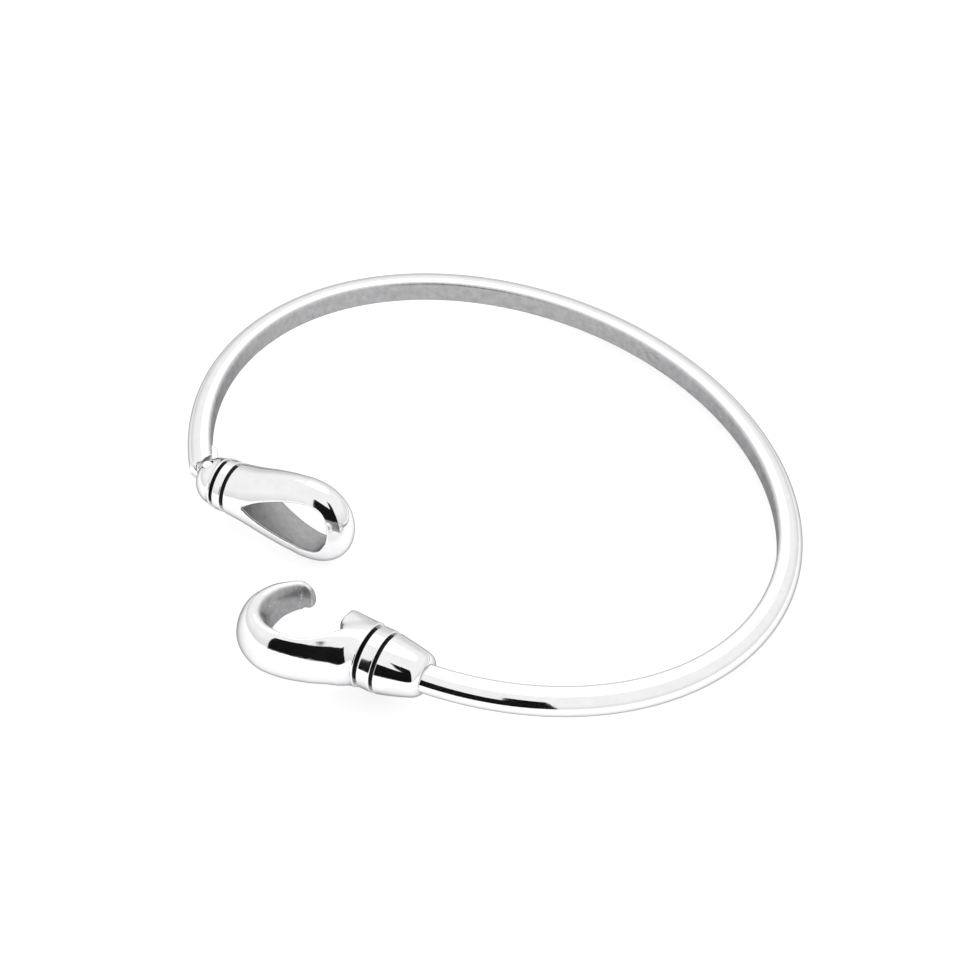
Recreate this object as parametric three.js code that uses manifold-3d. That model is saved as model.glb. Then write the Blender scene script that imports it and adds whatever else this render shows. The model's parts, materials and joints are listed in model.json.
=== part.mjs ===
// Hook-and-eye bangle in sterling silver: a springy oval wire, a fixed hook at one end
// and an eye that swings on a pin at the other. Millimetres, +Z up, back of the wrist +Y.
import * as THREE from 'three';
import { mergeVertices } from 'three/addons/utils/BufferGeometryUtils.js';
import Module from 'manifold-3d';

const wasm = await Module();
wasm.setup();
const { PI, cos, sin, atan2, sqrt, pow, abs, sign } = Math;
const rad = THREE.MathUtils.degToRad;

// Driving dimensions
const RING = { a: 31.15, b: 24.5 };
const WIRE = { inner: 1.15, flat: 0.85, corner: 0.45, land: 0.45, outer: 1.2, half: 1.3 };
const ANGLE = { hinge: rad(231), hook: rad(295.5), back: rad(90) };
const SHOULDER = rad(2.3);
const SPLIT_GAP = 0.45;
const FIT = 0.12;
const SOLDER = 0.08;
const PIN = { inset: 0.5, radius: 0.5, half: 1.85, bore: 0.57 };
const TONGUE = { half: 0.6, radius: 0.95, reach: 3, clear: 0.15, cant: rad(8) };
const SWING = { min: rad(-40), max: rad(30) };
const GROOVE = { width: 0.36, core: 0.45 };
const EYE = {
  heading: rad(15.5), dome: 2.35, centre: 1.3, radius: 2.5, ferrule: 1.5, band: 0.85, length: 16,
};
const EYE_LEAN = rad(-12);
const HOOK = { heading: rad(194), radius: 2.92, ferrule: 3.9, band: 1.3 };
const THROUGH = 12;
const SOCKET = 1.4;
const LIE = { x: rad(-3.32), y: rad(2.02) };
const OVERLAP = 0.5;
const STEPS = {
  wire: 40, section: 5, round: 36, spline: 60, ball: 24, dome: 8, swing: 8,
  eye: 26, hole: 44, hook: 40, bowl: 36,
};

const silver = () => new THREE.MeshStandardMaterial({ color: 0xd9dadb, roughness: 0.12, metalness: 1 });
const darkened = () => new THREE.MeshStandardMaterial({ color: 0x8f9092, roughness: 0.3, metalness: 1 });

const ringPoint = (angle, z = 0) => new THREE.Vector3(RING.a * cos(angle), RING.b * sin(angle), z);
const ringHeading = (angle) => atan2(RING.b * cos(angle), -RING.a * sin(angle));
const pinAt = ringPoint(ANGLE.hinge).add(new THREE.Vector3(
  -PIN.inset * sin(ringHeading(ANGLE.hinge)), PIN.inset * cos(ringHeading(ANGLE.hinge)), 0));

// Solids and meshes
function toSolid(geometry) {
  const bare = geometry.clone();
  bare.deleteAttribute('normal');
  bare.deleteAttribute('uv');
  const merged = mergeVertices(bare, 1e-5);
  return new wasm.Manifold(new wasm.Mesh({
    numProp: 3,
    vertProperties: merged.attributes.position.array,
    triVerts: new Uint32Array(merged.index.array),
  }));
}

function toGeometry(solid) {
  const { vertProperties, triVerts } = solid.getMesh();
  const geometry = new THREE.BufferGeometry();
  geometry.setAttribute('position', new THREE.BufferAttribute(new Float32Array(vertProperties), 3));
  geometry.setIndex(new THREE.BufferAttribute(new Uint32Array(triVerts), 1));
  geometry.computeVertexNormals();
  return geometry;
}

function piece(name, solid, material) {
  const mesh = new THREE.Mesh(toGeometry(solid), material);
  mesh.name = name;
  return mesh;
}

// A closed skin over a list of rings of points, each ring in the same order, ends capped.
function loft(rings) {
  const count = rings[0].length;
  const points = rings.flat();
  const index = [];
  for (let i = 0; i + 1 < rings.length; i += 1) {
    for (let j = 0; j < count; j += 1) {
      const k = (j + 1) % count;
      const [p, q, r, s] = [i * count + j, i * count + k, (i + 1) * count + k, (i + 1) * count + j];
      index.push(p, q, r, p, r, s);
    }
  }
  const middle = (ring) => ring.reduce((sum, p) => sum.add(p), new THREE.Vector3()).divideScalar(count);
  const first = points.push(middle(rings[0])) - 1;
  const last = points.push(middle(rings.at(-1))) - 1;
  const top = (rings.length - 1) * count;
  for (let j = 0; j < count; j += 1) {
    const k = (j + 1) % count;
    index.push(first, k, j, last, top + j, top + k);
  }
  const geometry = new THREE.BufferGeometry().setFromPoints(points);
  geometry.setIndex(index);
  return toSolid(geometry);
}

const upright = (x, y, radius, half) => toSolid(
  new THREE.CylinderGeometry(radius, radius, 2 * half, STEPS.round).rotateX(PI / 2).translate(x, y, 0));

// A piece turned about the X axis from [x, radius] pairs that start and end on the axis.
function turned(profile) {
  const points = profile.map(([x, r]) => new THREE.Vector2(r, x));
  return toSolid(new THREE.LatheGeometry(points, STEPS.round).rotateZ(-PI / 2));
}

const plug = (x0, x1, radius) => turned([[x0, 0], [x0, radius], [x1, radius], [x1, 0]]);

// Smooth curve through [x, value] pairs, read back at any x.
function curveThrough(pairs) {
  const curve = new THREE.SplineCurve(pairs.map(([x, y]) => new THREE.Vector2(x, y)));
  const samples = curve.getPoints(STEPS.spline);
  return (x) => {
    const next = samples.findIndex((p) => p.x >= x - 1e-9);
    if (next === 0) return samples[0].y;
    if (next < 0) return samples.at(-1).y;
    const [p, q] = [samples[next - 1], samples[next]];
    return THREE.MathUtils.mapLinear(x, p.x, q.x, p.y, q.y);
  };
}

// Superellipse outline: power 2 is an ellipse, larger powers are squarer.
function superOutline(halfWidth, halfHeight, power) {
  const rise = (value) => sign(value) * pow(abs(value), 2 / power);
  return Array.from({ length: STEPS.round }, (_, i) => {
    const turn = (i / STEPS.round) * 2 * PI;
    return [halfWidth * rise(cos(turn)), halfHeight * rise(sin(turn))];
  });
}

// The wire: flat inner face, domed outer face, narrow flat lands above and below.
function wireOutline(grow) {
  const shape = new THREE.Shape();
  const { inner, flat, corner, land, outer, half } = WIRE;
  const bend = outer - (corner + land - inner);
  shape.moveTo(-inner, -flat);
  shape.absarc(corner - inner, -flat, corner, PI, 1.5 * PI, false);
  shape.absellipse(outer - bend, 0, bend, half, 1.5 * PI, 2.5 * PI, false);
  shape.absarc(corner - inner, flat, corner, 0.5 * PI, PI, false);
  const points = shape.getPoints(STEPS.section);
  if (points[0].distanceTo(points.at(-1)) < 1e-6) points.pop();
  return points.map((p) => [p.x * (1 + grow / outer), p.y * (1 + grow / half)]);
}

function wireArc(from, to, grow = 0) {
  const outline = wireOutline(grow);
  const rings = [];
  for (let i = 0; i <= STEPS.wire; i += 1) {
    const angle = THREE.MathUtils.lerp(from, to, i / STEPS.wire);
    const side = ringHeading(angle) - PI / 2;
    rings.push(outline.map(([out, up]) => ringPoint(angle).add(
      new THREE.Vector3(out * cos(side), out * sin(side), up))));
  }
  return loft(rings);
}

// The tongue that fills the fork, in a frame with the pin at the origin.
function tongue(angle, clear) {
  const radius = TONGUE.radius + clear;
  const half = TONGUE.half + clear;
  const arm = new THREE.BoxGeometry(TONGUE.reach, 2 * radius, 2 * half).translate(TONGUE.reach / 2, 0, 0);
  return toSolid(arm.rotateZ(angle)).add(upright(0, 0, radius, half));
}

const tongueHeading = ringHeading(ANGLE.hinge) + PI - TONGUE.cant;
const swings = Array.from({ length: STEPS.swing + 1 }, (_, i) => (
  THREE.MathUtils.lerp(SWING.min, SWING.max, i / STEPS.swing)));

function eyeSideWire() {
  const cut = SPLIT_GAP / 2 / RING.a;
  let solid = wireArc(ANGLE.hinge - SHOULDER, ANGLE.back + cut);
  for (const swing of swings) {
    const heading = EYE.heading + swing;
    const room = new THREE.SphereGeometry(EYE.dome + TONGUE.clear, STEPS.ball, STEPS.ball);
    room.translate(pinAt.x + EYE.centre * cos(heading), pinAt.y + EYE.centre * sin(heading), 0);
    solid = solid.subtract(toSolid(room));
  }
  return solid.add(tongue(tongueHeading, 0).translate([pinAt.x, pinAt.y, 0]))
    .subtract(upright(pinAt.x, pinAt.y, PIN.bore, THROUGH));
}

function hookSideWire() {
  const cut = SPLIT_GAP / 2 / RING.a;
  return wireArc(ANGLE.back - cut, ANGLE.hook - 2 * PI - SOCKET / RING.a);
}

// Eye fitting, in a frame with the pin at the origin and the loop along +X.
const eyeStart = EYE.ferrule + EYE.band + 2 * GROOVE.width;

function eyeFerrule() {
  const dome = Array.from({ length: STEPS.dome + 1 }, (_, i) => {
    const turn = PI - (i / STEPS.dome) * (PI / 2);
    return [EYE.centre + EYE.dome * cos(turn), EYE.dome * sin(turn)];
  });
  dome[0][1] = 0;
  let solid = turned([...dome, [EYE.ferrule, EYE.radius], [EYE.ferrule, 0]]);
  for (const swing of swings) {
    solid = solid.subtract(tongue(tongueHeading - EYE.heading - swing, TONGUE.clear));
  }
  return solid.subtract(upright(0, 0, PIN.bore, THROUGH));
}

function bandRing(start, width, radius) {
  const edge = 0.12;
  const profile = [
    [start, radius - edge], [start + edge, radius], [start + width - edge, radius],
    [start + width, radius - edge],
  ];
  const body = turned([[start, 0], ...profile, [start + width, 0]]);
  return body.subtract(plug(start - OVERLAP, start + width + OVERLAP, radius - GROOVE.core + FIT));
}

function eyeHole() {
  const top = [[5.2, 0], [6.5, 0.9], [8.1, 1.6], [10, 2.2], [11.8, 2.5], [13.15, 2.15], [13.9, 0.95]];
  const bottom = top.slice(1).reverse().map(([x, z]) => [x, -z]);
  const spline = new THREE.SplineCurve([...top, ...bottom, top[0]].map(([x, z]) => new THREE.Vector2(x, z)));
  const shape = new THREE.Shape(spline.getPoints(STEPS.hole).slice(0, -1));
  const cut = new THREE.ExtrudeGeometry(shape, { depth: THROUGH, bevelEnabled: false });
  return toSolid(cut.translate(0, 0, -THROUGH / 2).rotateX(PI / 2));
}

// How much of the eye's full size is left at x, as it rounds off from a given station to the tip.
const TIP = { belly: 11, height: 4.35, shoulder: 10, width: 2.1, flat: 0.02 };

function roundedOff(x, from, power) {
  return sqrt(1 - ((x - from) / (EYE.length - from)) ** power);
}

function eyeLoop() {
  const flareHeight = curveThrough([
    [eyeStart, EYE.radius], [5, 2.95], [7, 3.55], [9, 4.05], [TIP.belly, TIP.height],
  ]);
  const flareWidth = curveThrough([[eyeStart, EYE.radius], [5, 2.45], [7, 2.35], [TIP.shoulder, TIP.width]]);
  const halfHeight = (x) => (x < TIP.belly ? flareHeight(x) : TIP.height * roundedOff(x, TIP.belly, 2.4));
  const halfWidth = (x) => (x < TIP.shoulder ? flareWidth(x) : TIP.width * roundedOff(x, TIP.shoulder, 3));
  const rings = [];
  for (let i = 0; i <= STEPS.eye; i += 1) {
    const x = THREE.MathUtils.lerp(eyeStart, EYE.length - TIP.flat, sin((i / STEPS.eye) * PI / 2));
    rings.push(superOutline(halfWidth(x), halfHeight(x), 2.15).map(([y, z]) => new THREE.Vector3(x, y, z)));
  }
  const core = EYE.radius - GROOVE.core;
  return loft(rings).subtract(eyeHole()).add(plug(EYE.ferrule + SOLDER, eyeStart + OVERLAP, core));
}

// Hook fitting, in a frame on the wire's line with the hook along +X and its open side at -Y.
const hookStart = HOOK.ferrule + HOOK.band + 2 * GROOVE.width;

function hookFerrule() {
  const stations = [
    [0, -0.35, 1.3], [0.2, -0.34, 1.75], [0.75, -0.3, 2.15], [2.2, -0.15, 2.55],
    [HOOK.ferrule, 0, HOOK.radius],
  ];
  const body = loft(stations.map(([x, y, r]) => superOutline(r, r, 2).map(
    ([side, up]) => new THREE.Vector3(x, y + side, up))));
  const origin = ringPoint(ANGLE.hook);
  const wire = wireArc(ANGLE.hook + OVERLAP, ANGLE.hook - (SOCKET + FIT) / RING.a, FIT)
    .translate([-origin.x, -origin.y, 0]).rotate([0, 0, -THREE.MathUtils.radToDeg(HOOK.heading)]);
  return body.subtract(wire);
}

// Centre line of the hook: [x, y, half width in plan, half height].
const HOOK_STATIONS = [
  [hookStart, 0, HOOK.radius, HOOK.radius],
  [7.3, 0.35, 2.8, 2.88],
  [9, 1.35, 2.4, 2.8],
  [10.8, 2.6, 1.95, 2.7],
  [12.8, 3.5, 1.6, 2.6],
  [14.8, 3.55, 1.6, 2.5],
  [16.5, 2.5, 1.65, 2.4],
  [17.2, 0.75, 1.6, 2.2],
  [16.85, -1.2, 1.3, 1.9],
  [15.95, -2.5, 1, 1.7],
  [15.1, -3.2, 0.85, 1.6],
  [14.5, -3.3, 0.65, 1.35],
];

function hookSweep() {
  const centre = new THREE.SplineCurve(HOOK_STATIONS.map(([x, y]) => new THREE.Vector2(x, y)));
  const sizes = new THREE.SplineCurve(HOOK_STATIONS.map(([, , w, h]) => new THREE.Vector2(w, h)));
  const rings = [];
  for (let i = 0; i <= STEPS.hook; i += 1) {
    const t = i / STEPS.hook;
    const [p, size] = [centre.getPoint(t), sizes.getPoint(t)];
    const d = i === 0 ? new THREE.Vector2(1, 0) : centre.getTangent(t);
    rings.push(superOutline(size.x, size.y, 2.2).map(
      ([side, up]) => new THREE.Vector3(p.x - d.y * side, p.y + d.x * side, up)));
  }
  const end = centre.getPoint(1);
  const d = centre.getTangent(1);
  for (const [out, scale] of [[0.3, 0.85], [0.5, 0.55]]) {
    const size = sizes.getPoint(1).multiplyScalar(scale);
    rings.push(superOutline(size.x, size.y, 2.2).map(([side, up]) => new THREE.Vector3(
      end.x + d.x * out - d.y * side, end.y + d.y * out + d.x * side, up)));
  }
  return loft(rings);
}

function hookThumb() {
  const stations = [
    [hookStart, 0, HOOK.radius, HOOK.radius], [7.4, -0.35, 2.72, 2.72], [9, -1.3, 1.75, 2.5],
    [9.5, -1.6, 1.35, 2.1],
  ];
  return loft(stations.map(([x, y, w, h]) => superOutline(w, h, 2.3).map(
    ([side, up]) => new THREE.Vector3(x, y + side, up))));
}

function bowlCut() {
  const wall = [
    [13.5, -2.6], [14.4, -2.45], [15.3, -1.8], [16, -0.6], [16.05, 0.9], [15.3, 2.3],
    [13.8, 3.2], [12.1, 3.4], [10.6, 2.85], [9.2, 1.6], [8.4, 0.45],
  ].map(([x, y]) => new THREE.Vector2(x, y));
  const shape = new THREE.Shape(new THREE.SplineCurve(wall).getPoints(STEPS.bowl));
  shape.lineTo(9.4, -0.7);
  shape.lineTo(9.4, -THROUGH);
  shape.lineTo(13.5, -THROUGH);
  const cut = new THREE.ExtrudeGeometry(shape, { depth: THROUGH, bevelEnabled: false });
  return toSolid(cut.translate(0, 0, -THROUGH / 2));
}

function hookBody() {
  return hookSweep().add(hookThumb()).subtract(bowlCut())
    .add(plug(HOOK.ferrule + SOLDER, hookStart + OVERLAP, HOOK.radius - GROOVE.core));
}

// Assembly
const eye = new THREE.Group();
eye.position.copy(pinAt);
eye.rotation.z = EYE.heading;
eye.add(
  piece('eye_ferrule', eyeFerrule(), silver()),
  piece('eye_band', bandRing(EYE.ferrule + GROOVE.width, EYE.band, EYE.radius + 0.05), silver()),
  piece('eye_loop', eyeLoop(), silver()),
);
eye.getObjectByName('eye_loop').rotation.x = EYE_LEAN;

const hook = new THREE.Group();
hook.position.copy(ringPoint(ANGLE.hook));
hook.rotation.z = HOOK.heading;
hook.add(
  piece('hook_ferrule', hookFerrule(), silver()),
  piece('hook_band', bandRing(HOOK.ferrule + GROOVE.width, HOOK.band, HOOK.radius + 0.06), silver()),
  piece('hook', hookBody(), silver()),
);

const bangle = new THREE.Group();
bangle.rotation.set(LIE.x, LIE.y, 0);
bangle.add(
  piece('wire_eye_half', eyeSideWire(), silver()),
  piece('wire_hook_half', hookSideWire(), silver()),
  piece('eye_hinge_pin', upright(pinAt.x, pinAt.y, PIN.radius, PIN.half), darkened()),
  eye,
  hook,
);

const root = new THREE.Group();
root.add(bangle);
root.updateMatrixWorld(true);
const bounds = new THREE.Box3().setFromObject(root, true);
const middle = bounds.getCenter(new THREE.Vector3());
root.position.set(-middle.x, -middle.y, -bounds.min.z);

export default root;
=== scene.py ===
"""Hook-and-eye silver bangle: finished meshes, materials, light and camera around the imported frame."""
import json
import math

import bpy
import numpy as np
from mathutils import Matrix, Vector


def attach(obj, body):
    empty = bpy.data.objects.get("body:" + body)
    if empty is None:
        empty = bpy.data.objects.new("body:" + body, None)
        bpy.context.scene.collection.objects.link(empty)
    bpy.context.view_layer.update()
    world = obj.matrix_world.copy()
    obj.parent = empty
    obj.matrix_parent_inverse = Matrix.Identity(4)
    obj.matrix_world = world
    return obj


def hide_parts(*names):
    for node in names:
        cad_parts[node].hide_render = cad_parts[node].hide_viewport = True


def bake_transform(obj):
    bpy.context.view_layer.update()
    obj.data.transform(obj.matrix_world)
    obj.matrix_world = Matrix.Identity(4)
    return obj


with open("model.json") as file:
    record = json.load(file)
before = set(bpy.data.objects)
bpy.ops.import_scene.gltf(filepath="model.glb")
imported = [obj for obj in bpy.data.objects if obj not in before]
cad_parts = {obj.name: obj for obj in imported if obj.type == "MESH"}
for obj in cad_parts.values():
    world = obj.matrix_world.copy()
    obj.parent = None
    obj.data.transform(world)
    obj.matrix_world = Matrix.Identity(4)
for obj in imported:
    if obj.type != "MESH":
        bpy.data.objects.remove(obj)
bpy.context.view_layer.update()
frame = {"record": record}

MM = 0.001

# Driving dimensions in millimetres and degrees
RING_A, RING_B = 31.15, 24.5
WIRE = {"inner": 1.15, "flat": 0.85, "corner": 0.45, "land": 0.45, "outer": 1.2, "half": 1.3}
EYE = {"heading": 15.5, "dome": 2.35, "centre": 1.3, "radius": 2.5, "ferrule": 1.5, "band": 0.85, "tip": 16.0}
EYE_LEAN = -12.0
HOOK = {"heading": 194.0, "radius": 2.92, "ferrule": 3.9, "band": 1.3}
HOOK_ANGLE = 295.5
HINGE_ANGLE = 231.0
SHOULDER = 2.3
SWING = (-40, 30)
GROOVE = 0.36
GROOVE_DEPTH = 0.45
SOCKET = 1.3
PIN = {"radius": 0.5, "half": 1.85, "bore": 0.57}
TONGUE = {"half": 0.6, "radius": 0.95, "reach": 3.0, "clear": 0.15, "cant": 8.0}
EYE_START = EYE["ferrule"] + EYE["band"] + 2 * GROOVE
HOOK_START = HOOK["ferrule"] + HOOK["band"] + 2 * GROOVE
EYE_BAND_PROUD, HOOK_BAND_PROUD = 0.05, 0.06
BAND_SINK = 0.2
SPIGOT_OVERLAP = (0.1, 0.2)
AXIS_HOLE = 0.02
FERRULE_SHIFT = 0.35

# Radii that round the edges where fields meet, and the corners of the turned band, pin and ferrule
EDGE = {
    "bore": 0.06, "slot": 0.1, "tongue": 0.12, "end": 0.12, "collar": 0.3, "dome": 0.35, "room": 0.05,
    "eye_back": 0.12, "eye_tip": 0.1, "eye_hole": 0.3, "hook_back": 0.14, "thumb_tip": 0.5,
    "thumb_root": 0.35, "bowl": 0.22, "band": 0.14, "pin": 0.15, "ferrule": 0.12,
}
# The bowl's edge is softer on the thumb, which lies below this y and before this x
THUMB_EDGE = {"extra": 0.55, "y": -0.5, "x": 10.5}
# Powers of the superellipse sections and of the curves that close the eye's tip
POWER = {"eye": 2.15, "hook": 2.2, "thumb": 2.3, "tip_height": 2.4, "tip_width": 3}
LEAST_HALF, TIP_TRIM = 0.3, 0.02

# Mesh steps: points round a turned piece, field cell sizes, swing steps that cut the slots and the room,
# spacing along a turned profile, the step a slope is measured over and the least length to divide by
TURN = 144
CELL, ROOM_CELL, FERRULE_CELL = 0.085, 0.2, 0.06
SWING_STEPS = 9
PROFILE_STEP = 0.08
SLOPE_STEP = 1e-3
TINY = 1e-9

# Eye loop: [x, half height], [x, half width] and the hole's upper edge [x, z]
LOOP_HEIGHT = [(EYE_START, EYE["radius"]), (5, 2.95), (7, 3.55), (9, 4.05), (11, 4.35)]
LOOP_WIDTH = [(EYE_START, EYE["radius"]), (5, 2.45), (7, 2.35), (10, 2.1)]
HOLE_TOP = [(5.2, 0), (6.5, 0.9), (8.1, 1.6), (10, 2.2), (11.8, 2.5), (13.15, 2.15), (13.9, 0.95)]
HOLE_FRONT = (14.02, 0)

# Hook: [x, y, half width in plan, half height] along its centre line, its thumb and its bowl
HOOK_LINE = [
    (HOOK_START, 0, HOOK["radius"], HOOK["radius"]), (7.3, 0.35, 2.8, 2.88), (9, 1.35, 2.4, 2.8),
    (10.8, 2.6, 1.95, 2.7), (12.8, 3.5, 1.6, 2.6), (14.8, 3.55, 1.6, 2.5), (16.5, 2.5, 1.65, 2.4),
    (17.2, 0.75, 1.6, 2.2), (16.85, -1.2, 1.3, 1.9), (15.95, -2.5, 1, 1.7), (15.1, -3.2, 0.85, 1.6),
    (14.5, -3.3, 0.65, 1.35),
]
THUMB_LINE = [
    (HOOK_START, 0, HOOK["radius"], HOOK["radius"]), (7.4, -0.35, 2.72, 2.72),
    (9, -1.3, 1.75, 2.5), (9.5, -1.6, 1.35, 2.1),
]
SPLAY, SPLAY_RUN = 0.3, 1.5
BOWL_WALL = [
    (13.5, -2.6), (14.4, -2.45), (15.3, -1.8), (16, -0.6), (16.05, 0.9), (15.3, 2.3), (13.8, 3.2),
    (12.1, 3.4), (10.6, 2.85), (9.2, 1.6), (8.4, 0.45),
]
BOWL_MOUTH = [(9.4, -0.7), (9.4, -8), (13.5, -8)]

# Low and high corners of the boxes that the fields are meshed in
TONGUE_BOX = [(-5, -5, -1.2), (5, 5, 1.2)]
FERRULE_BOX = [(-1.5, -2.9, -2.9), (1.9, 2.9, 2.9)]
EYE_BOX = [(EYE_START - 0.4, -2.9, -4.7), (EYE["tip"] + 0.3, 2.9, 4.7)]
HOOK_BOX = [(HOOK_START - 0.4, -4.6, -3.2), (18.8, 5.6, 3.2)]


# ---------------------------------------------------------------- places
JOINTS = {joint["name"]: joint for joint in frame["record"]["behaviour"]["joints"]}
UP = Vector(JOINTS["bangle_squeeze"]["axis"]).normalized()
BACK = Vector(JOINTS["bangle_squeeze"]["pos_m"])
HINGE = Vector(JOINTS["eye_swing"]["pos_m"])


def ring_matrix():
    """From the ring's own frame, in metres, to the row frame: the bangle lies at a slant on the floor."""
    turn_x = Matrix.Rotation(-math.asin(UP.y), 4, "X")
    leant = turn_x.inverted().to_3x3() @ UP
    turn = turn_x @ Matrix.Rotation(math.atan2(leant.x, leant.z), 4, "Y")
    return Matrix.Translation(BACK - turn.to_3x3() @ Vector((0, RING_B * MM, 0))) @ turn


def ring_point(angle):
    turn = math.radians(angle)
    return Vector((RING_A * math.cos(turn), RING_B * math.sin(turn), 0))


def ring_heading(angle):
    turn = math.radians(angle)
    return math.atan2(RING_B * math.cos(turn), -RING_A * math.sin(turn))


RING = ring_matrix()
RING_PLACE = RING @ Matrix.Scale(MM, 4)
PIN_AT = (RING.inverted() @ HINGE) / MM
EYE_PLACE = RING_PLACE @ Matrix.Translation(PIN_AT) @ Matrix.Rotation(math.radians(EYE["heading"]), 4, "Z")
LOOP_PLACE = EYE_PLACE @ Matrix.Rotation(math.radians(EYE_LEAN), 4, "X")
HOOK_PLACE = (RING_PLACE @ Matrix.Translation(ring_point(HOOK_ANGLE))
              @ Matrix.Rotation(math.radians(HOOK["heading"]), 4, "Z"))


# ---------------------------------------------------------------- curves and fields
def spline(points, count):
    """Catmull-Rom curve through points, as an array of count rows."""
    knots = np.array(points, float)
    knots = np.vstack([2 * knots[0] - knots[1], knots, 2 * knots[-1] - knots[-2]])
    at = np.linspace(0, len(points) - 1, count)
    seg = np.minimum(at.astype(int), len(points) - 2)
    t = (at - seg)[:, None]
    a, b, c, d = (knots[seg + i] for i in range(4))
    return 0.5 * (2 * b + (c - a) * t + (2 * a - 5 * b + 4 * c - d) * t**2 + (3 * b - a - 3 * c + d) * t**3)


def reading(pairs, power):
    """Smooth function of x through (x, value) pairs that then rounds off to nothing at the eye's tip."""
    curve = spline(pairs, 200)
    last = pairs[-1][0]

    def value(x):
        off = np.clip((x - last) / (EYE["tip"] - last), 0, 1)
        return np.interp(x, curve[:, 0], curve[:, 1]) * np.sqrt(1 - off**power)
    return value


def polygon_distance(x, y, outline):
    """Signed distance from points to a closed polygon, negative inside."""
    p = np.stack([x, y], -1)
    best = np.full(x.shape, 1e9)
    inside = np.zeros(x.shape, bool)
    for a, b in zip(outline, np.roll(outline, -1, 0)):
        e = b - a
        w = p - a
        t = np.clip((w @ e) / max(e @ e, 1e-12), 0, 1)
        best = np.minimum(best, ((w - t[..., None] * e) ** 2).sum(-1))
        crosses = (a[1] > y) != (b[1] > y)
        slope = np.where(abs(e[1]) > 1e-12, e[1], 1e-12)
        inside ^= crosses & (x < a[0] + (y - a[1]) / slope * e[0])
    return np.where(inside, -1, 1) * np.sqrt(best)


def round_max(a, b, radius):
    """Intersection of two fields with a rounded edge."""
    blend = np.clip(0.5 + 0.5 * (a - b) / radius, 0, 1)
    return b + (a - b) * blend + radius * blend * (1 - blend)


def round_min(a, b, radius):
    """Union of two fields with a filleted edge."""
    return -round_max(-a, -b, radius)


def section_field(side, height, half_side, half_height, power):
    """Field of a superellipse section, about in millimetres near its edge."""
    size = np.minimum(half_side, half_height)
    span = (np.abs(side / half_side) ** power + np.abs(height / half_height) ** power) ** (1 / power)
    return (span - 1) * size


# ---------------------------------------------------------------- surfaces
SETTLE_ROUNDS, SETTLE_REACH, LEAST_SLOPE = 3, 0.4, 0.05
# Where a surface counts as inside a cut-out, where the silver turns to satin with painted shade: how squarely
# it faces in, and how far out it still may be
FACING_FROM, FACING_BLEND = 0.45, 0.25
CUT_LIMIT, CUT_BLEND = 0.9, 0.3


def surface(field, low, high, cell):
    """Quad mesh of a field's zero surface: one vertex per crossed cell, then moved onto the surface."""
    axes = [np.arange(a, b + cell, cell) for a, b in zip(low, high)]
    grid = field(axes[0][:, None, None], axes[1][None, :, None], axes[2][None, None, :])
    inside = grid < 0
    shape = [n - 1 for n in grid.shape]
    total = np.zeros((*shape, 3))
    hits = np.zeros(shape)
    corner = [(i, j, k) for i in (0, 1) for j in (0, 1) for k in (0, 1)]
    for c in corner:
        for axis in range(3):
            if c[axis]:
                continue
            d = tuple(v + (n == axis) for n, v in enumerate(c))
            cut = [tuple(slice(o, o + s) for o, s in zip(q, shape)) for q in (c, d)]
            f0, f1 = grid[cut[0]], grid[cut[1]]
            crossed = inside[cut[0]] != inside[cut[1]]
            t = np.where(crossed, f0 / np.where(crossed, f0 - f1, 1), 0)
            for n in range(3):
                total[..., n] += crossed * (c[n] + (t if n == axis else 0))
            hits += crossed
    used = hits > 0
    number = np.full(shape, -1)
    number[used] = np.arange(used.sum())
    cells = np.argwhere(used)
    points = np.array([a[0] for a in axes]) + cell * (cells + total[used] / hits[used][:, None])
    faces = []
    for axis in range(3):
        u, v = [n for n in range(3) if n != axis]
        if axis == 1:
            u, v = v, u
        here = [slice(1, -1)] * 3
        here[axis] = slice(0, -1)
        there = list(here)
        there[axis] = slice(1, None)
        crossed = np.argwhere(inside[tuple(here)] != inside[tuple(there)])
        crossed += [0 if n == axis else 1 for n in range(3)]
        out = inside[tuple(crossed.T)]
        back = np.eye(3, dtype=int)
        ring = [crossed - back[u] - back[v], crossed - back[v], crossed, crossed - back[u]]
        quad = np.stack([number[tuple(r.T)] for r in ring], 1)
        faces.append(np.where(out[:, None], quad, quad[:, ::-1]))
    faces = np.vstack(faces)
    for _ in range(SETTLE_ROUNDS):
        points = settle(field, points, SETTLE_REACH * cell)
    return points, faces


def gradient(field, points, here):
    """The field's slope at each point, from its value there and a small step along each axis."""
    return np.stack([(field(*(points + SLOPE_STEP * e).T) - here) / SLOPE_STEP for e in np.eye(3)], 1)


def settle(field, points, reach):
    """One Newton step of every point onto the field's zero surface."""
    here = field(*points.T)
    slope = gradient(field, points, here)
    move = -here[:, None] * slope / np.maximum((slope**2).sum(1), LEAST_SLOPE)[:, None]
    length = np.linalg.norm(move, axis=1, keepdims=True)
    return points + move * np.minimum(1, reach / np.maximum(length, TINY))


def facing_cut(field, gap, points):
    """One where the surface faces into a cut-out, nothing elsewhere."""
    def facing(of):
        rise = gradient(of, points, of(*points.T))
        return rise / np.maximum(np.linalg.norm(rise, axis=1, keepdims=True), TINY)

    inward = -(facing(field) * facing(gap)).sum(1)
    squarely = np.clip((inward - FACING_FROM) / FACING_BLEND, 0, 1)
    return squarely * np.clip((CUT_LIMIT - gap(*points.T)) / CUT_BLEND, 0, 1)


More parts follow.
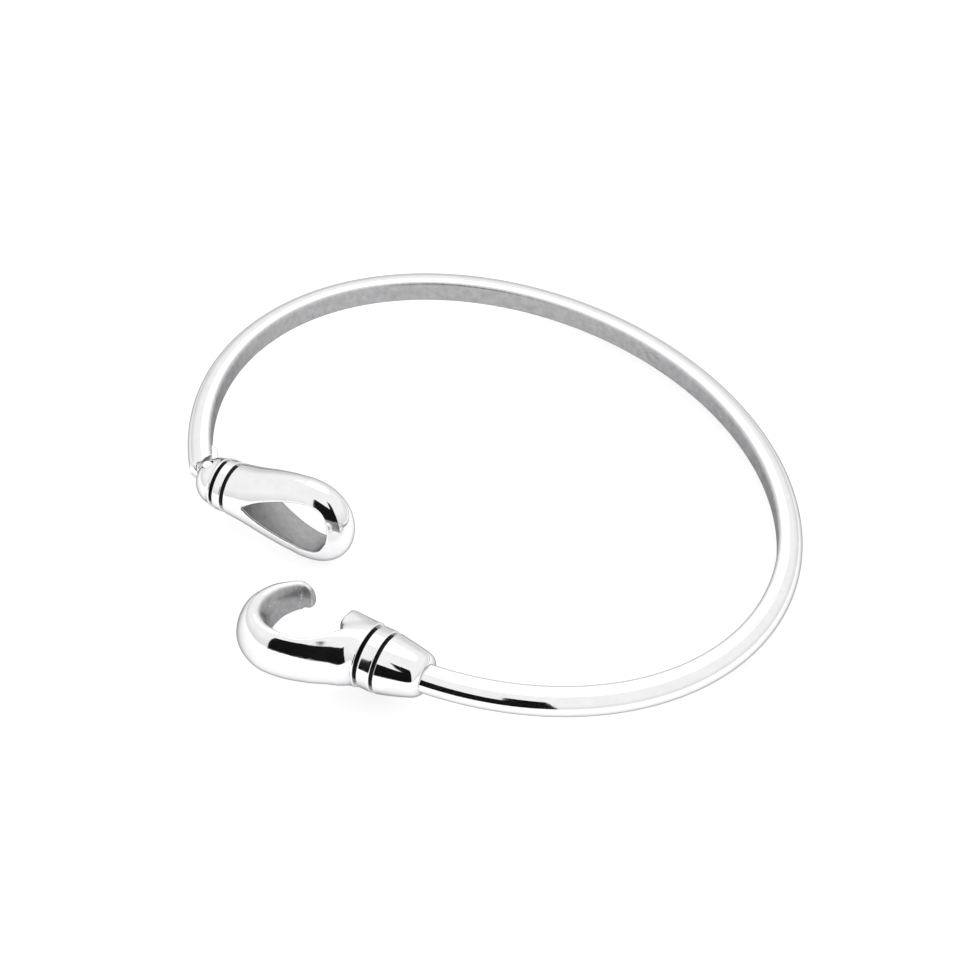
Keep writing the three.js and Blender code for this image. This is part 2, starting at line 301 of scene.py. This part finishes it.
def mesh_object(name, points, faces, place, satin_and_shade=None):
    """Linked mesh object; the given mask fills the inner attribute, which the silver reads for its satin
    roughness and its painted shade.
    """
    mesh = bpy.data.meshes.new(name)
    mesh.from_pydata([tuple(p) for p in points], [], [tuple(int(i) for i in f) for f in faces])
    mesh.transform(place)
    mesh.validate()
    mesh.update()
    mesh.shade_smooth()
    if satin_and_shade is not None:
        layer = mesh.attributes.new("inner", "FLOAT", "POINT")
        layer.data.foreach_set("value", np.asarray(satin_and_shade, np.float32))
    piece = bpy.data.objects.new(name, mesh)
    bpy.context.scene.collection.objects.link(piece)
    return piece


def loft_faces(rings, around):
    """Quads between closed rings of points, with a flat face at either end."""
    faces = []
    for i in range(rings - 1):
        for j in range(around):
            k = (j + 1) % around
            faces.append((i * around + j, i * around + k, (i + 1) * around + k, (i + 1) * around + j))
    faces.append(tuple(range(around - 1, -1, -1)))
    faces.append(tuple(range((rings - 1) * around, rings * around)))
    return faces


def rounded(profile, radius, steps=5):
    """A profile of (x, r) corners with a short curve at each inner corner and close points on its walls."""
    points = [np.array(p, float) for p in profile]
    out = [points[0]]
    for before, here, after in zip(points, points[1:], points[2:]):
        legs = [before - here, after - here]
        reach = min(radius, *(0.45 * np.linalg.norm(leg) for leg in legs))
        a, b = (here + leg / np.linalg.norm(leg) * reach for leg in legs)
        for t in np.linspace(0, 1, steps):
            out.append((1 - t) ** 2 * a + 2 * t * (1 - t) * here + t**2 * b)
    out.append(points[-1])
    fine = [out[0]]
    for a, b in zip(out, out[1:]):
        count = max(1, math.ceil(np.linalg.norm(b - a) / PROFILE_STEP))
        fine += [a + (b - a) * i / count for i in range(1, count + 1)]
    return fine


def turned(name, profile, place, shift=None):
    """Round piece about its own X axis from (x, r) pairs; shift gives a sideways offset for each x."""
    angles = np.linspace(0, 2 * math.pi, TURN, endpoint=False)
    points = []
    for x, r in profile:
        off = shift(x) if shift else 0
        points += [(x, off + r * math.cos(a), r * math.sin(a)) for a in angles]
    return mesh_object(name, points, loft_faces(len(profile), TURN), place)


# ---------------------------------------------------------------- wire
def wire_outline():
    """The D section as (out, up) points with the flat inner face finely divided, anticlockwise."""
    inner, flat, corner, half = WIRE["inner"], WIRE["flat"], WIRE["corner"], WIRE["half"]
    bend = WIRE["outer"] - (corner + WIRE["land"] - inner)

    def arc(cx, cy, rx, ry, a, b, n):
        return [(cx + rx * math.cos(t), cy + ry * math.sin(t)) for t in np.linspace(a, b, n)]

    face = [(-inner, v) for v in np.linspace(flat, -flat, 26)]
    low = arc(corner - inner, -flat, corner, corner, math.pi, 1.5 * math.pi, 8)[1:]
    dome = arc(WIRE["outer"] - bend, 0, bend, half, -0.5 * math.pi, 0.5 * math.pi, 36)
    high = arc(corner - inner, flat, corner, corner, 0.5 * math.pi, math.pi, 8)[:-1]
    return np.array(face + low + dome + high)


MARK_ANGLE = 89.2
MARK = {"long": 0.85, "tall": 0.5, "line": 0.16, "depth": 0.05, "reach": 3}
WIRE_RINGS, MARK_RINGS = 300, 70
FACE_SKIN, FACE_FADE = 0.02, 0.25


def wire_skin():
    """The wire from the eye's hinge round to the hook, with a faint oval line pressed into its inner face."""
    outline = wire_outline()
    hook_end = HOOK_ANGLE - 360 - math.degrees(SOCKET / RING_B)
    coarse = np.linspace(HINGE_ANGLE - SHOULDER, hook_end, WIRE_RINGS)
    fine = np.linspace(MARK_ANGLE - MARK["reach"], MARK_ANGLE + MARK["reach"], MARK_RINGS)
    coarse = coarse[np.abs(coarse - MARK_ANGLE) > MARK["reach"]]
    angles = np.unique(np.round(np.concatenate([coarse, fine]), 5))[::-1]
    inner = (outline[:, 0] < -WIRE["inner"] + FACE_SKIN).astype(float)
    points, satin_and_shade = [], []
    mark_at = ring_point(MARK_ANGLE)
    for angle in angles:
        centre, side = ring_point(angle), ring_heading(angle) - math.pi / 2
        along = (centre - mark_at).length * (1 if angle > MARK_ANGLE else -1)
        oval = np.hypot(along / MARK["long"], outline[:, 1] / MARK["tall"])
        dent = MARK["depth"] * np.exp(-((oval - 1) / MARK["line"]) ** 2) * inner
        out = outline[:, 0] + dent
        x, y = centre.x + out * math.cos(side), centre.y + out * math.sin(side)
        points.append(np.stack([x, y, outline[:, 1]], 1))
        # The flat inner face is marked for satin roughness and for painted shade in the silver's colour
        satin_and_shade.append(np.clip(1 - (outline[:, 0] + WIRE["inner"]) / FACE_FADE, 0, 1))
    faces = loft_faces(len(angles), len(outline))
    skin = mesh_object("bangle_wire", np.vstack(points), faces, RING_PLACE, np.concatenate(satin_and_shade))
    cut_end(skin)
    return skin


def apply_boolean(piece, other, how):
    """Boolean with another object, which is used up."""
    modifier = piece.modifiers.new(how, "BOOLEAN")
    modifier.operation = how
    modifier.solver = "EXACT"
    modifier.object = other
    bpy.context.view_layer.update()
    bpy.context.view_layer.objects.active = piece
    with bpy.context.temp_override(object=piece, active_object=piece, selected_objects=[piece]):
        bpy.ops.object.modifier_apply(modifier=modifier.name)
    bpy.data.objects.remove(other)


def cut_end(skin):
    """Room at the wire's end for the eye's dome as it swings."""
    def room(x, y, z):
        best = None
        for swing in np.linspace(*SWING, SWING_STEPS):
            turn = math.radians(EYE["heading"] + swing)
            cx = PIN_AT.x + EYE["centre"] * math.cos(turn)
            cy = PIN_AT.y + EYE["centre"] * math.sin(turn)
            ball = np.sqrt((x - cx) ** 2 + (y - cy) ** 2 + z**2) - EYE["dome"] - TONGUE["clear"]
            best = ball if best is None else round_min(best, ball, EDGE["room"])
        return best

    reach = EYE["dome"] + EYE["centre"] + 0.5
    low = (PIN_AT.x - reach, PIN_AT.y - reach, -reach)
    high = (PIN_AT.x + reach, PIN_AT.y + reach, reach)
    points, faces = surface(room, low, high, ROOM_CELL)
    apply_boolean(skin, mesh_object("room", points, faces, RING_PLACE), "DIFFERENCE")


def tongue_field(x, y, z, heading, clear):
    """Flat round-ended tongue from the pin along a heading, grown by a clearance."""
    c, s = math.cos(heading), math.sin(heading)
    along, side = x * c + y * s, -x * s + y * c
    radius, half = TONGUE["radius"] + clear, TONGUE["half"] + clear
    past = np.maximum(along - TONGUE["reach"], 0) + np.minimum(along, 0)
    plan = np.hypot(side, past) - radius
    return round_max(plan, np.abs(z) - half, EDGE["tongue"])


def tongue_heading():
    """Direction of the tongue from the pin, in the ring's frame."""
    return ring_heading(HINGE_ANGLE) + math.pi - math.radians(TONGUE["cant"])


def pin_bored(body, x, y):
    """The body with the hinge pin's bore taken out."""
    return round_max(body, PIN["bore"] - np.hypot(x, y), EDGE["bore"])


def wire_tongue():
    def field(x, y, z):
        return pin_bored(tongue_field(x, y, z, tongue_heading(), 0), x, y)

    points, faces = surface(field, *TONGUE_BOX, CELL)
    return mesh_object("wire_tongue", points, faces, RING_PLACE @ Matrix.Translation(PIN_AT))


# ---------------------------------------------------------------- eye fitting
def eye_ferrule():
    """Domed end and collar, with a fork slotted for the tongue through the whole swing."""
    rest = tongue_heading() - math.radians(EYE["heading"])

    def field(x, y, z):
        r = np.hypot(y, z)
        ball = np.sqrt((x - EYE["centre"]) ** 2 + r**2) - EYE["dome"]
        collar = round_max(r - EYE["radius"], EYE["centre"] - x, EDGE["collar"])
        body = round_min(ball, collar, EDGE["dome"])
        body = round_max(body, x - EYE["ferrule"], EDGE["end"])
        for swing in np.linspace(*SWING, SWING_STEPS):
            slot = tongue_field(x, y, z, rest - math.radians(swing), TONGUE["clear"])
            body = round_max(body, -slot, EDGE["slot"])
        return pin_bored(body, x, y)

    points, faces = surface(field, *FERRULE_BOX, FERRULE_CELL)
    return mesh_object("eye_ferrule_skin", points, faces, EYE_PLACE)


def band(name, start, width, radius, bore, place):
    """Plain ring with eased corners."""
    profile = [(start, bore), (start, radius), (start + width, radius), (start + width, bore)]
    ring = rounded(profile, EDGE["band"], 7)
    return turned(name, ring, place)


def loop_hole():
    """Outline of the eye's hole: the upper edge, its mirror image and a blunt front end."""
    top = spline(HOLE_TOP, 60)
    bottom = top[::-1] * [1, -1]
    closing = spline([tuple(top[-1]), HOLE_FRONT, tuple(bottom[0])], 14)
    return np.vstack([top, closing[1:-1], bottom[:-1]])


def eye_loop():
    """Cast eye: an upright loop whose hole is cut from side to side."""
    height = reading(LOOP_HEIGHT, POWER["tip_height"])
    width = reading(LOOP_WIDTH, POWER["tip_width"])
    hole = loop_hole()

    def parts(x, y, z):
        half_width, half_height = np.maximum(width(x), LEAST_HALF), np.maximum(height(x), LEAST_HALF)
        body = section_field(y, z, half_width, half_height, POWER["eye"])
        body = round_max(body, x - EYE["tip"] + TIP_TRIM, EDGE["eye_tip"])
        body = round_max(body, EYE_START - x, EDGE["eye_back"])
        flat_x, flat_z = np.broadcast_arrays(x, z)
        if flat_x.ndim == 3:
            gap = polygon_distance(flat_x[:, 0, :], flat_z[:, 0, :], hole)[:, None, :]
        else:
            gap = polygon_distance(flat_x, flat_z, hole)
        return body, gap

    def field(x, y, z):
        body, gap = parts(x, y, z)
        return round_max(body, -gap, EDGE["eye_hole"])

    points, faces = surface(field, *EYE_BOX, CELL)
    # The hole's walls are marked for satin roughness and for painted shade in the silver's colour
    satin_and_shade = facing_cut(field, lambda x, y, z: parts(x, y, z)[1], points)
    return mesh_object("eye_loop_skin", points, faces, LOOP_PLACE, satin_and_shade)


def spigot(name, ferrule, end, radius, place):
    """Dark core between a ferrule and the casting, let into both."""
    back, front = SPIGOT_OVERLAP
    return turned(name, [(ferrule - back, radius), (end + front, radius)], place)


def hinge_pin():
    """Upright pin through the fork and the tongue."""
    half, radius = PIN["half"], PIN["radius"]
    corners = [(-half, AXIS_HOLE), (-half, radius), (half, radius), (half, AXIS_HOLE)]
    profile = rounded(corners, EDGE["pin"], 6)
    upright = RING_PLACE @ Matrix.Translation(PIN_AT) @ Matrix.Rotation(-math.pi / 2, 4, "Y")
    return turned("eye_hinge_pin_skin", profile, upright)


# ---------------------------------------------------------------- hook fitting
def hook_ferrule():
    """Flared ferrule whose narrow end sits off centre on the wire."""
    length = HOOK["ferrule"]
    flare = [(0.0, 1.3), (0.2, 1.75), (0.75, 2.15), (2.2, 2.55), (length, HOOK["radius"])]
    start, end = (0.0, AXIS_HOLE), (length, AXIS_HOLE)
    outside = map(tuple, spline(flare, 40))
    shape = rounded([start, *outside, end], EDGE["ferrule"], 4)

    def shift(x):
        return -FERRULE_SHIFT * max(0, 1 - x / length) ** 1.2

    return turned("hook_ferrule_skin", shape, HOOK_PLACE, shift)


def line_field(line, power):
    """Field of a bar that follows a line in plan, with its own half width and height along it."""
    curve = spline(line, 160)
    heading = np.gradient(curve[:, :2], axis=0)
    step = np.linalg.norm(heading, axis=1)
    heading /= step[:, None]
    rows = np.arange(len(curve))

    def plan(x, y):
        away = (x[..., None] - curve[:, 0]) ** 2 + (y[..., None] - curve[:, 1]) ** 2
        near = away.argmin(-1)
        along = (x - curve[near, 0]) * heading[near, 0] + (y - curve[near, 1]) * heading[near, 1]
        at = near + along / step[near]
        px, py, w, h, hx, hy = (np.interp(at, rows, values) for values in (*curve.T, *heading.T))
        side = (y - py) * hx - (x - px) * hy
        past = np.where(at > rows[-1], along, 0)
        return np.sign(side) * np.hypot(side, past), w, h

    def field(x, y, z):
        full_x, full_y = np.broadcast_arrays(x, y)
        if full_x.ndim == 3:
            side, w, h = (a[:, :, None] for a in plan(full_x[:, :, 0], full_y[:, :, 0]))
        else:
            side, w, h = plan(full_x, full_y)
        splay = SPLAY * np.clip((x - HOOK_START) / SPLAY_RUN, 0, 1)
        return section_field(side, z, w * (1 - splay * z / h), h, power)
    return field


def hook_body():
    """Cast hook: a bar curling round a bowl, with a short thumb; the bowl is cut from top to bottom."""
    bar = line_field(HOOK_LINE, POWER["hook"])
    bowl = np.vstack([spline(BOWL_WALL, 90), np.array(BOWL_MOUTH, float)])
    thumb = np.array(THUMB_LINE, float)

    def parts(x, y, z):
        at = np.clip(x, thumb[0, 0], thumb[-1, 0])
        mid, w, h = (np.interp(at, thumb[:, 0], thumb[:, n]) for n in (1, 2, 3))
        nose = section_field(y - mid, z, w, h, POWER["thumb"])
        nose = round_max(nose, x - thumb[-1, 0], EDGE["thumb_tip"])
        body = round_min(bar(x, y, z), nose, EDGE["thumb_root"])
        body = round_max(body, HOOK_START - x, EDGE["hook_back"])
        full_x, full_y = np.broadcast_arrays(x, y)
        if full_x.ndim == 3:
            gap = polygon_distance(full_x[:, :, 0], full_y[:, :, 0], bowl)[:, :, None]
        else:
            gap = polygon_distance(full_x, full_y, bowl)
        return body, gap

    def field(x, y, z):
        body, gap = parts(x, y, z)
        on_thumb = np.clip(THUMB_EDGE["y"] - y, 0, 1) * np.clip(THUMB_EDGE["x"] - x, 0, 1)
        return round_max(body, -gap, EDGE["bowl"] + THUMB_EDGE["extra"] * on_thumb)

    points, faces = surface(field, *HOOK_BOX, CELL)
    # The bowl's walls are marked for satin roughness and for painted shade in the silver's colour
    satin_and_shade = facing_cut(field, lambda x, y, z: parts(x, y, z)[1], points)
    return mesh_object("hook_skin", points, faces, HOOK_PLACE, satin_and_shade)


# ---------------------------------------------------------------- materials
class Nodes:
    """Small helper that adds and links shader nodes."""

    def __init__(self, name):
        self.material = bpy.data.materials.new(name)
        self.material.use_nodes = True
        self.tree = self.material.node_tree
        self.shader = self.tree.nodes["Principled BSDF"]

    def add(self, kind, links=(), **values):
        node = self.tree.nodes.new(kind)
        for key, value in values.items():
            if key in node.inputs:
                node.inputs[key].default_value = value
            else:
                setattr(node, key, value)
        for target, source in links:
            self.tree.links.new(source, node.inputs[target])
        return node

    def noise(self, vector, scale, detail, **values):
        links = [("Vector", vector)]
        return self.add("ShaderNodeTexNoise", links, Scale=scale, Detail=detail, **values).outputs["Fac"]

    def mix(self, factor, low, high):
        """Colour between low and high; a colour Mix node takes them in sockets 6 and 7 and gives socket 2."""
        links = [(0, factor), (6, low), (7, high)]
        return self.add("ShaderNodeMix", links, data_type="RGBA").outputs[2]

    def ramp(self, source, stops):
        """Colour ramp through (position, grey or colour) stops."""
        node = self.add("ShaderNodeValToRGB", [("Fac", source)])
        elements = node.color_ramp.elements
        for n, (at, value) in enumerate(stops):
            element = elements[n] if n < 2 else elements.new(at)
            element.position = at
            element.color = (*value, 1) if isinstance(value, tuple) else (value, value, value, 1)
        return node.outputs["Color"]

    def link(self, source, socket):
        self.tree.links.new(source, self.shader.inputs[socket])


# Fine polishing hairs: a noise stretched along one direction
HAIR_SCALE, HAIR_TURN = (220, 5200, 4000), (0.3, 0.2, 0.6)


def polished_silver():
    """Bright polished silver; where the inner attribute is one it turns to rough satin, and its colour to a
    grey that is painted shade.
    """
    n = Nodes("polished_silver")
    place = n.add("ShaderNodeTexCoord").outputs["Object"]
    inner = n.add("ShaderNodeAttribute", attribute_name="inner").outputs["Fac"]
    fine = n.noise(place, 900, 4)
    wide = n.noise(place, 160, 3)
    cast = n.noise(place, 1500, 5, Roughness=0.65)
    stretch = n.add("ShaderNodeMapping", [("Vector", place)], Scale=HAIR_SCALE, Rotation=HAIR_TURN)
    lines = n.noise(stretch.outputs["Vector"], 1, 2)
    polish = n.ramp(wide, [(0.3, 0.045), (0.75, 0.1)])
    satin = n.ramp(cast, [(0.25, 0.3), (0.8, 0.5)])
    n.link(n.mix(inner, polish, satin), "Roughness")
    bright = n.ramp(fine, [(0.3, (0.86, 0.86, 0.865)), (0.7, (0.91, 0.91, 0.915))])
    # Painted shade: the marked faces take a dark grey base colour for the shade they hold; only their rougher
    # grain is the finish
    grey = n.ramp(cast, [(0.3, (0.33, 0.33, 0.335)), (0.75, (0.5, 0.5, 0.505))])
    n.link(n.mix(inner, bright, grey), "Base Color")
    hair = n.add("ShaderNodeBump", [("Height", lines)], Strength=0.05, Distance=0.00002)
    under = [("Height", cast), ("Strength", inner), ("Normal", hair.outputs["Normal"])]
    grain = n.add("ShaderNodeBump", under, Distance=0.00006)
    n.link(grain.outputs["Normal"], "Normal")
    n.shader.inputs["Metallic"].default_value = 1.0
    # Painted shade: the dark edge tint draws thin grey outlines on the silver where it is seen at a grazing
    # angle
    n.shader.inputs["Specular Tint"].default_value = (0.3, 0.3, 0.31, 1)
    return n.material


def oxidised_silver():
    """Blackened silver at the bottom of the grooves."""
    n = Nodes("oxidised_silver")
    place = n.add("ShaderNodeTexCoord").outputs["Object"]
    cloud = n.noise(place, 1200, 4)
    n.link(n.ramp(cloud, [(0.3, (0.012, 0.012, 0.013)), (0.75, (0.06, 0.058, 0.055))]), "Base Color")
    n.link(n.ramp(cloud, [(0.3, 0.45), (0.7, 0.7)]), "Roughness")
    bump = n.add("ShaderNodeBump", [("Height", cloud)], Strength=0.5, Distance=0.00003)
    n.link(bump.outputs["Normal"], "Normal")
    n.shader.inputs["Metallic"].default_value = 0.9
    return n.material


SILVER = polished_silver()
DARK = oxidised_silver()


def finish(piece, body, material, slot_name, *nodes):
    """Give a piece its material and its body, and hide the CAD nodes it stands for; slot_name is not used."""
    piece.data.materials.append(material)
    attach(piece, body)
    if nodes:
        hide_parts(*nodes)


# ---------------------------------------------------------------- build
wire = wire_skin()
wire.data.materials.append(SILVER)
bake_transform(wire)
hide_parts("wire_eye_half", "wire_hook_half")

finish(wire_tongue(), "eye_side", SILVER, "polished_silver")
finish(hinge_pin(), "eye_side", SILVER, "pin_silver", "eye_hinge_pin")
finish(eye_ferrule(), "eye", SILVER, "polished_silver", "eye_ferrule")
eye_core = EYE["radius"] - GROOVE_DEPTH
eye_ring = (EYE["ferrule"] + GROOVE, EYE["band"], EYE["radius"] + EYE_BAND_PROUD, eye_core - BAND_SINK)
finish(band("eye_band_skin", *eye_ring, EYE_PLACE), "eye", SILVER, "polished_silver", "eye_band")
finish(eye_loop(), "eye", SILVER, "polished_silver", "eye_loop")
eye_spigot = spigot("eye_spigot", EYE["ferrule"], EYE_START, eye_core, EYE_PLACE)
finish(eye_spigot, "eye", DARK, "polished_silver")

hook_core = HOOK["radius"] - GROOVE_DEPTH
finish(hook_ferrule(), "hook_side", SILVER, "polished_silver", "hook_ferrule")
hook_ring = (HOOK["ferrule"] + GROOVE, HOOK["band"], HOOK["radius"] + HOOK_BAND_PROUD, hook_core - BAND_SINK)
finish(band("hook_band_skin", *hook_ring, HOOK_PLACE), "hook_side", SILVER, "polished_silver", "hook_band")
finish(hook_body(), "hook_side", SILVER, "polished_silver", "hook")
hook_spigot = spigot("hook_spigot", HOOK["ferrule"], HOOK_START, hook_core, HOOK_PLACE)
finish(hook_spigot, "hook_side", DARK, "polished_silver")


# ---------------------------------------------------------------- studio
CAMERA = {"turn": 43.64, "rise": 46.0, "distance": 228.96, "target": (1.30, -1.233, 0), "lens": 88.1633}
SENSOR_WIDTH = 36
CLIP_NEAR, CLIP_FAR = 0.01, 20


def camera():
    """Camera placed in the ring's own frame, in millimetres, and carried into the row frame."""
    turn, rise = math.radians(CAMERA["turn"]), math.radians(CAMERA["rise"])
    target = Vector(CAMERA["target"])
    toward = Vector((math.cos(rise) * math.sin(turn), -math.cos(rise) * math.cos(turn), math.sin(rise)))
    right = Vector((math.cos(turn), math.sin(turn), 0))
    basis = Matrix((right, toward.cross(right), toward)).transposed()
    data = bpy.data.cameras.new("camera")
    data.lens = CAMERA["lens"]
    data.sensor_width = SENSOR_WIDTH
    data.clip_start, data.clip_end = CLIP_NEAR, CLIP_FAR
    eye = bpy.data.objects.new("camera", data)
    place = Matrix.Translation((target + CAMERA["distance"] * toward) * MM) @ basis.to_4x4()
    eye.matrix_world = RING @ place
    bpy.context.scene.collection.objects.link(eye)
    bpy.context.scene.camera = eye


def plain_material(name, colour, rough=0.8, emission=None):
    n = Nodes(name)
    n.shader.inputs["Base Color"].default_value = (*colour, 1)
    n.shader.inputs["Roughness"].default_value = rough
    if emission is not None:
        n.shader.inputs["Emission Color"].default_value = (1, 1, 1, 1)
        n.shader.inputs["Emission Strength"].default_value = emission
    return n.material


def staged_plane(name, place, width, height, material, reflected_only=False):
    """Rectangle that belongs to the stage; a reflected-only one is seen in reflections and not directly."""
    w, h = width / 2, height / 2
    mesh = bpy.data.meshes.new(name)
    mesh.from_pydata([(-w, -h, 0), (w, -h, 0), (w, h, 0), (-w, h, 0)], [], [(0, 1, 2, 3)])
    plane = bpy.data.objects.new(name, mesh)
    plane.matrix_world = place
    mesh.materials.append(material)
    bpy.context.scene.collection.objects.link(plane)
    if reflected_only:
        plane.visible_camera = False
        plane.visible_diffuse = False
        plane.visible_shadow = False
        plane.visible_transmission = False
    return plane


# Black cards in front of the bangle, upright in the plane y = CARD_Y: name, x from and to, z from and to
CARD_Y = -0.082
CARDS = [("low_card", -0.002, 0.088, 0.004, 0.062), ("high_card", 0.054, 0.088, 0.062, 0.13)]
FLOOR = {"size": 6, "colour": (0.62, 0.62, 0.625), "glow": 0.5}
SKY = [(0.0, (0.8, 0.8, 0.81, 1)), (0.45, (1, 1, 1, 1))]
SOFTBOX = {"at": Vector((-0.25, 0.35, 0.9)), "size": 0.9, "energy": 1.5}


def studio():
    """Floor, black cards, a sky that is greyer low down and one soft light."""
    floor = plain_material("floor", FLOOR["colour"], emission=FLOOR["glow"])
    staged_plane("floor", Matrix.Identity(4), FLOOR["size"], FLOOR["size"], floor)
    black = plain_material("black_card", (0.004, 0.004, 0.004))
    black.node_tree.nodes["Principled BSDF"].inputs["Specular IOR Level"].default_value = 0.0
    for name, x0, x1, z0, z1 in CARDS:
        middle = Matrix.Translation((0.5 * (x0 + x1), CARD_Y, 0.5 * (z0 + z1)))
        place = middle @ Matrix.Rotation(math.pi / 2, 4, "X")
        staged_plane(name, place, x1 - x0, z1 - z0, black, True)
    world = bpy.data.worlds.new("studio")
    world.use_nodes = True
    tree = world.node_tree
    sky = tree.nodes["Background"]
    coord = tree.nodes.new("ShaderNodeTexCoord")
    split = tree.nodes.new("ShaderNodeSeparateXYZ")
    ramp = tree.nodes.new("ShaderNodeValToRGB")
    tree.links.new(coord.outputs["Generated"], split.inputs[0])
    tree.links.new(split.outputs["Z"], ramp.inputs["Fac"])
    tree.links.new(ramp.outputs["Color"], sky.inputs["Color"])
    for element, (position, colour) in zip(ramp.color_ramp.elements, SKY):
        element.position = position
        element.color = colour
    sky.inputs["Strength"].default_value = 1.0
    bpy.context.scene.world = world
    light = bpy.data.lights.new("softbox", "AREA")
    light.shape = "DISK"
    light.size = SOFTBOX["size"]
    light.energy = SOFTBOX["energy"]
    lamp = bpy.data.objects.new("softbox", light)
    aim = SOFTBOX["at"].to_track_quat("Z", "Y").to_matrix().to_4x4()
    lamp.matrix_world = Matrix.Translation(SOFTBOX["at"]) @ aim
    bpy.context.scene.collection.objects.link(lamp)
    bpy.context.scene.view_settings.view_transform = "Standard"


camera()
studio()
